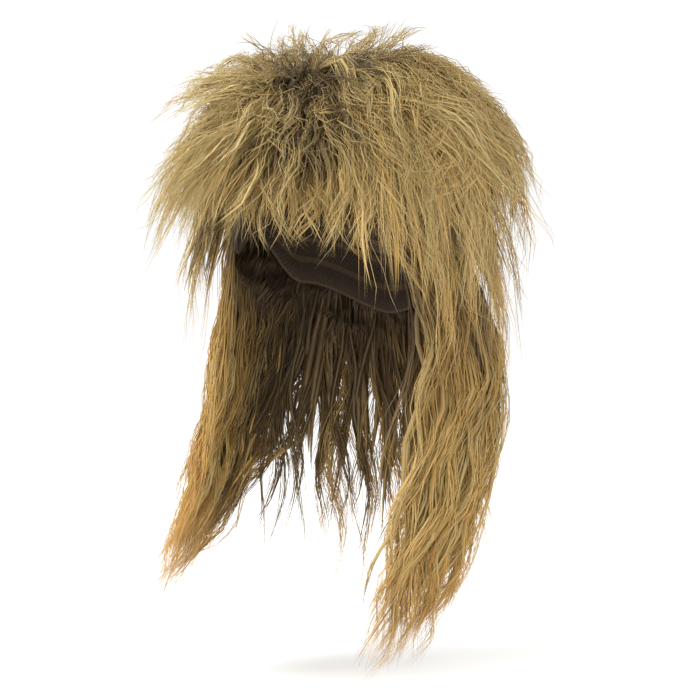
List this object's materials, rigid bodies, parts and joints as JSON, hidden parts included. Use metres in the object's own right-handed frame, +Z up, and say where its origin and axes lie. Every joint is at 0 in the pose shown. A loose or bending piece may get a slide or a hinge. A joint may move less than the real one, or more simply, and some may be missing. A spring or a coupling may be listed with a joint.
{
  "type": "long layered wig",
  "caption": "Shaggy layered wig in dark-rooted golden blonde, with a teased spiky crown, a ragged fringe and long wavy sides, on a soft cap that fits over the head.",
  "frame": {"origin": "inside of the cap at the crown, where the wig rests on the top of the head", "axes": "+Z up, -Y the way the face looks, +X the wearer's left"},
  "size_m": [0.3034, 0.2691, 0.4841],
  "materials": {
    "cap_net": "dark brown stretch net",
    "hair": "dry golden blonde fibre, dark brown at the roots and paler at the tips"
  },
  "bodies": {
    "root": {"wig_cap": "cap_net", "crown": "hair", "fringe": "hair", "side_layer_left": "hair", "side_layer_right": "hair", "back_layer": "hair", "lengths_left": "hair", "lengths_right": "hair", "lengths_back": "hair"}
  },
  "joints": []
}
